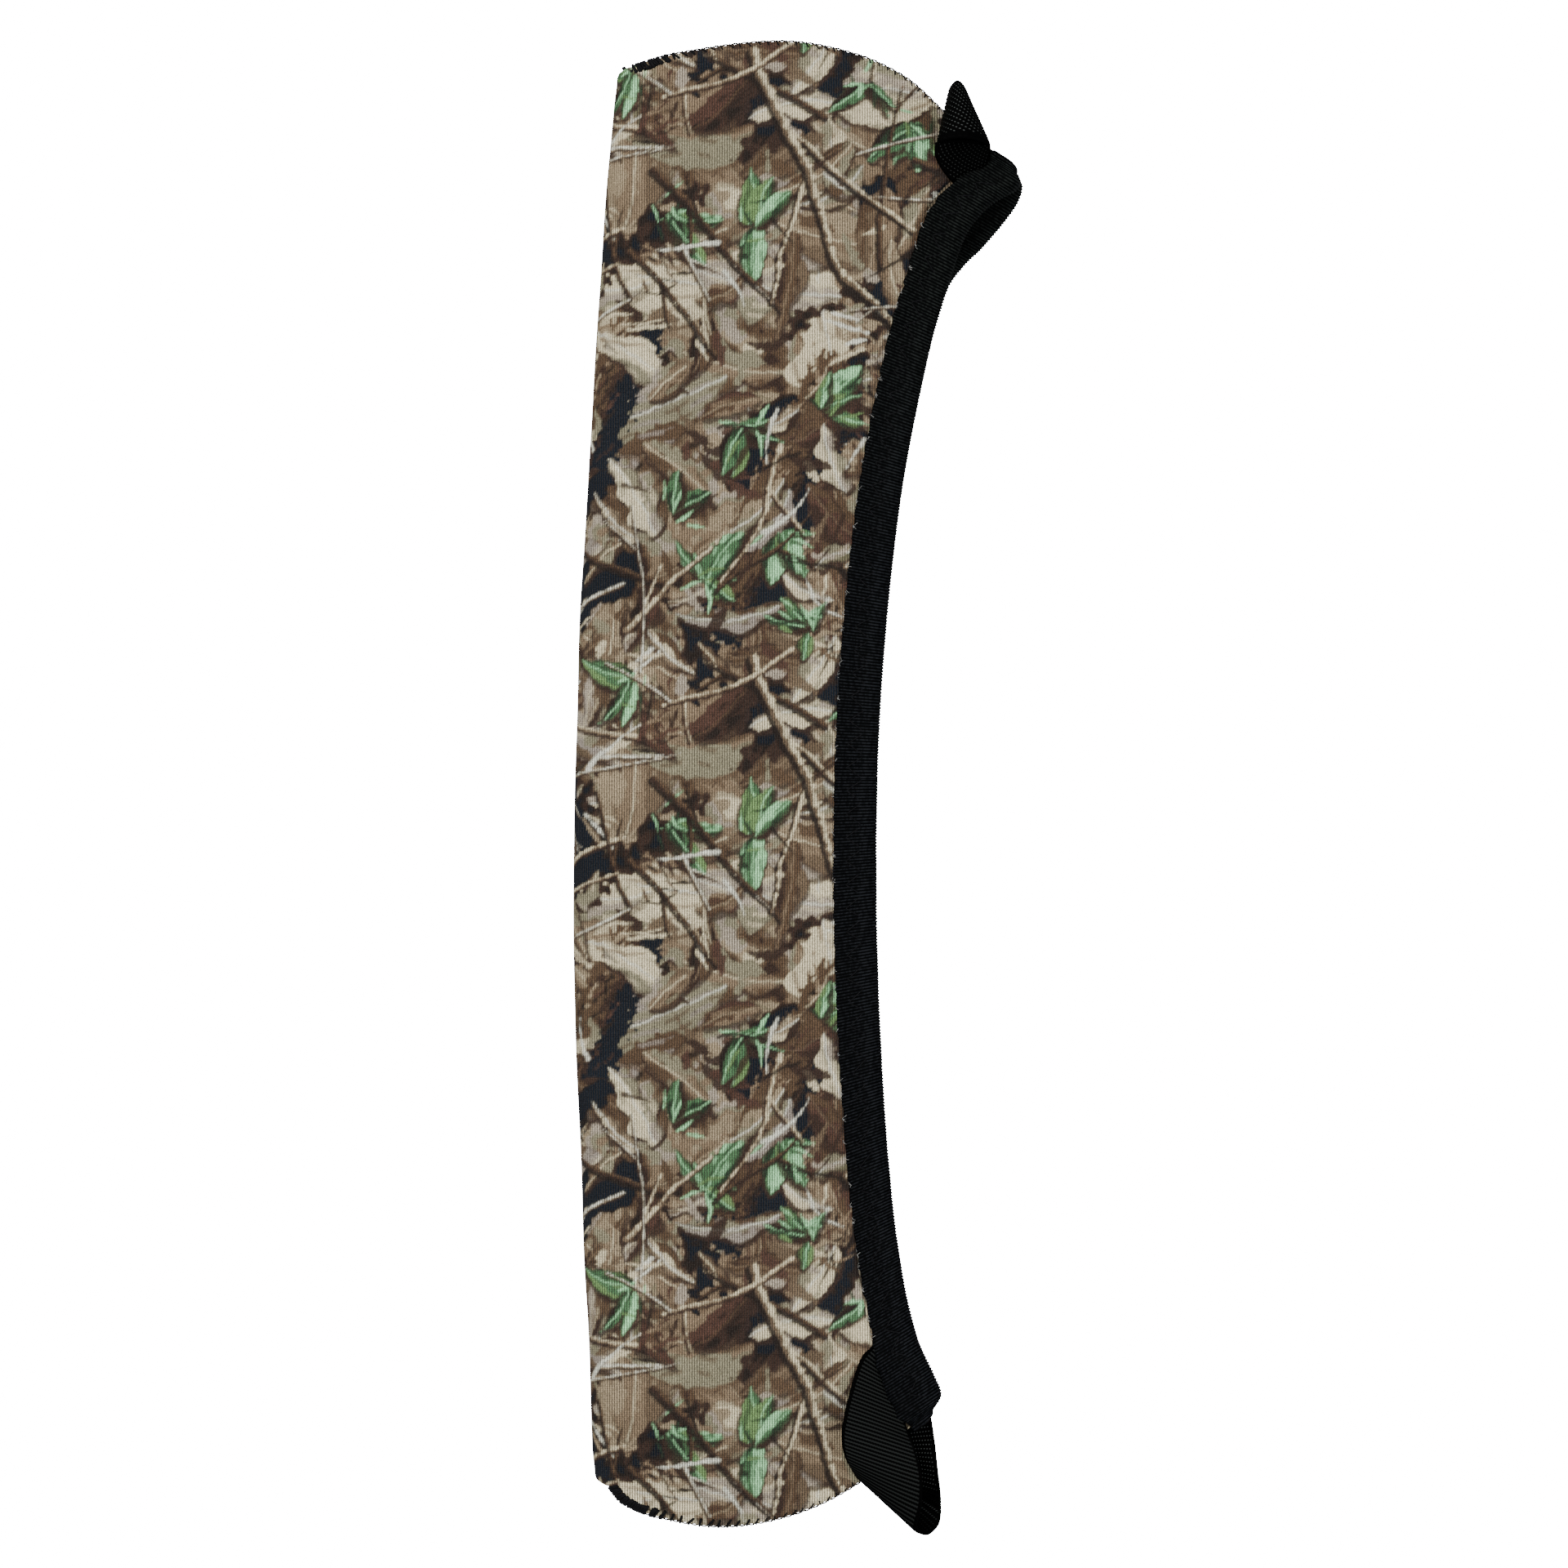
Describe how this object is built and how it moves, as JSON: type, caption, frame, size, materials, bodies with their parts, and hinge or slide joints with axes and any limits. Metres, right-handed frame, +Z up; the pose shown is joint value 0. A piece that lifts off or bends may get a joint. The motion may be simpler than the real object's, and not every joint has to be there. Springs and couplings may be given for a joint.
{
  "type": "slip-on optic cover",
  "caption": "Flat slip-on neoprene cover for a rifle or spotting scope, camouflage face, sewn ends, elastic-bound side mouth and webbing pull loops.",
  "frame": {"origin": "on the surface it lies on, under the middle of its bounding box", "axes": "+Y along the cover towards its wider end, +X across it from the fold towards the mouth, +Z up off the surface"},
  "size_m": [0.1046, 0.3479, 0.0212],
  "materials": {
    "camo_face": "printed warp knit, matt",
    "foam": "closed-cell neoprene foam, matt",
    "lining": "black knit, matt",
    "elastic": "ribbed fold-over elastic, slight sheen",
    "webbing": "woven webbing, slight sheen",
    "thread": "polyester thread"
  },
  "bodies": {
    "cover": {"back_face_fabric": "camo_face", "back_foam_core": "foam", "back_lining": "lining", "fold_face_fabric": "camo_face", "fold_foam_core": "foam", "fold_lining": "lining", "front_upper_end_face_fabric": "camo_face", "front_upper_end_foam_core": "foam", "front_upper_end_lining": "lining", "front_lower_end_face_fabric": "camo_face", "front_lower_end_foam_core": "foam", "front_lower_end_lining": "lining", "back_binding": "elastic", "front_upper_end_binding": "elastic", "front_lower_end_binding": "elastic", "upper_end_stitching": "thread", "lower_end_stitching": "thread", "upper_end_seam": "thread", "lower_end_seam": "thread", "upper_loop_root": "webbing", "lower_loop_root": "webbing"},
    "mouth_flap": {"front_face_fabric": "camo_face", "front_foam_core": "foam", "front_lining": "lining", "front_binding": "elastic", "front_binding_stitching": "thread"},
    "upper_loop": {"upper_pull_loop": "webbing"},
    "lower_loop": {"lower_pull_loop": "webbing"}
  },
  "joints": [
    {"name": "mouth_open", "type": "hinge", "parent": "cover", "child": "mouth_flap", "pos_m": [-0.0457, 0, 0.0063], "axis": [0, -1, 0], "range_deg": [0, 35], "stiffness_Nm_per_rad": 0.02, "deforming": ["fold_face_fabric", "fold_foam_core", "fold_lining"]},
    {"name": "upper_loop_lift", "type": "hinge", "parent": "cover", "child": "upper_loop", "pos_m": [0.0387, 0.15, 0.0146], "axis": [0.9896, -0.1439, 0], "range_deg": [0, 65]},
    {"name": "lower_loop_lift", "type": "hinge", "parent": "cover", "child": "lower_loop", "pos_m": [0.0192, -0.1494, 0.0148], "axis": [-0.848, 0.53, 0], "range_deg": [0, 55]}
  ]
}
